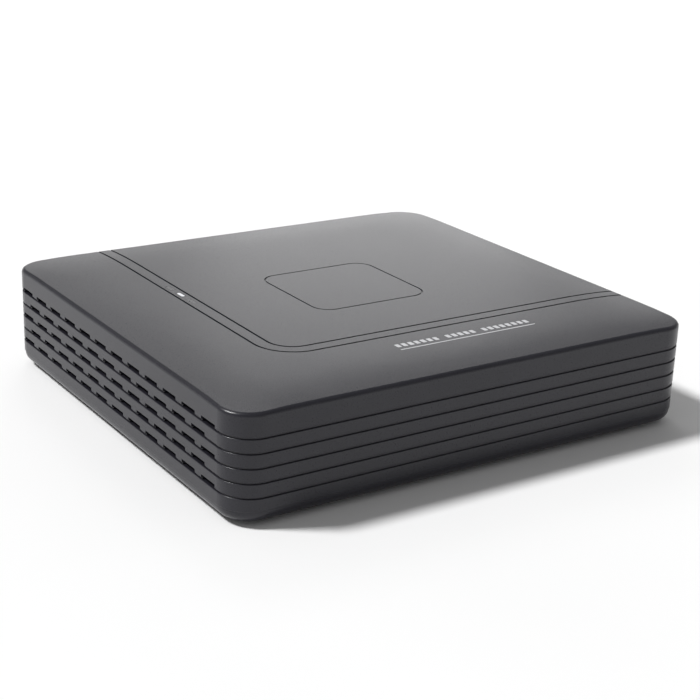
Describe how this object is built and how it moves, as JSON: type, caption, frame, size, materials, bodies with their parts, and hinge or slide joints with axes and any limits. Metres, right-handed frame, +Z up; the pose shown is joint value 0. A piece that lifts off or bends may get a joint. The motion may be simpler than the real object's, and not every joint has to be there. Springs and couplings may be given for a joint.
{
  "type": "video recorder",
  "caption": "Flat black plastic box for recording camera video: rounded corners, grooved and slotted sides, framing lines on top, sockets at the rear, and a hard disk inside.",
  "frame": {"origin": "on the surface the feet stand on, under the middle of the whole outline with the rear sockets counted", "axes": "+X to the right seen from the front, +Y to the rear sockets, +Z up"},
  "size_m": [0.2, 0.196, 0.0425],
  "materials": {
    "case_plastic": "satin moulded ABS with a fine even grain",
    "panel_paint": "satin black powder coat",
    "foot_rubber": "matt black rubber",
    "black_steel": "black-oxide steel",
    "bright_steel": "bright zinc plate",
    "clear_plastic": "clear moulded acrylic",
    "board_green": "green solder mask",
    "chip_black": "matt moulding compound",
    "sink_aluminium": "plain extruded aluminium",
    "can_aluminium": "bright can with a dark sleeve",
    "coil_grey": "pressed ferrite",
    "jack_black": "black nylon",
    "header_white": "natural nylon",
    "led_white": "clear epoxy over a white cup",
    "nickel": "bright nickel plate",
    "insulator_white": "white insulator",
    "gilt": "thin gilt over brass",
    "audio_core": "red and white moulded cores",
    "vga_blue": "blue moulded insert",
    "disk_alloy": "die-cast aluminium, fine blasted",
    "disk_steel": "pressed bright steel",
    "platter_mirror": "polished magnetic disc",
    "disk_board_green": "blue-green solder mask",
    "cable_red": "red cable jacket",
    "wire_plastic": "coloured wire insulation",
    "fan_black": "black glass-filled plastic",
    "bracket_steel": "bright zinc plate"
  },
  "bodies": {
    "chassis": {"base_tray": "case_plastic", "rear_panel": "panel_paint", "rubber_feet": "foot_rubber", "case_screws": "black_steel", "main_board": "board_green", "board_screws": "bright_steel", "main_processor": "chip_black", "heat_sink": "sink_aluminium", "memory_chips": "chip_black", "flash_chip": "chip_black", "video_chips": "chip_black", "network_transformer": "chip_black", "capacitors": "can_aluminium", "power_coils": "coil_grey", "crystals": "bright_steel", "battery_holder": "jack_black", "clock_battery": "bright_steel", "buzzer": "jack_black", "status_leds": "led_white", "data_header": "jack_black", "power_headers": "header_white", "video_jack_blocks": "jack_black", "video_jack_barrels": "nickel", "video_jack_insulators": "insulator_white", "video_jack_contacts": "gilt", "audio_jack_block": "jack_black", "audio_jack_barrels": "nickel", "audio_jack_cores": "audio_core", "vga_shell": "nickel", "vga_insert": "vga_blue", "vga_jack_screws": "nickel", "hdmi_shell": "nickel", "hdmi_tongue": "jack_black", "usb_shell": "nickel", "usb_tongues": "insulator_white", "lan_socket": "jack_black", "lan_contacts": "gilt", "power_jack": "jack_black", "power_jack_pin": "nickel", "disk_casting": "disk_alloy", "disk_cover": "disk_steel", "disk_cover_screws": "black_steel", "disk_magnets": "nickel", "disk_board": "disk_board_green", "disk_socket": "jack_black", "disk_mount_screws": "bright_steel", "data_cable": "cable_red", "data_cable_plugs": "jack_black", "disk_power_wires": "wire_plastic", "disk_power_plugs": "header_white", "fan_wires": "wire_plastic", "fan_frame": "fan_black", "fan_bracket": "bracket_steel", "fan_screws": "bright_steel"},
    "cover": {"top_cover": "case_plastic", "light_pipes": "clear_plastic"},
    "disk_stack": {"disk_platters": "platter_mirror", "disk_hub": "disk_alloy"},
    "head_arm": {"disk_arm": "disk_alloy"},
    "fan_rotor": {"fan_rotor": "fan_black"}
  },
  "joints": [
    {"name": "cover_lift", "type": "slide", "parent": "chassis", "child": "cover", "axis": [0, 0, 1], "range_m": [0, 0.06]},
    {"name": "disk_spin", "type": "hinge", "parent": "chassis", "child": "disk_stack", "pos_m": [0.0457, -0.0348, 0.02], "axis": [0, 0, 1], "continuous": true},
    {"name": "head_swing", "type": "hinge", "parent": "chassis", "child": "head_arm", "pos_m": [-0.006, -0.052, 0.02], "axis": [0, 0, 1], "range_deg": [-35, 0]},
    {"name": "fan_spin", "type": "hinge", "parent": "chassis", "child": "fan_rotor", "pos_m": [-0.092, -0.0695, 0.023], "axis": [1, 0, 0], "continuous": true}
  ]
}
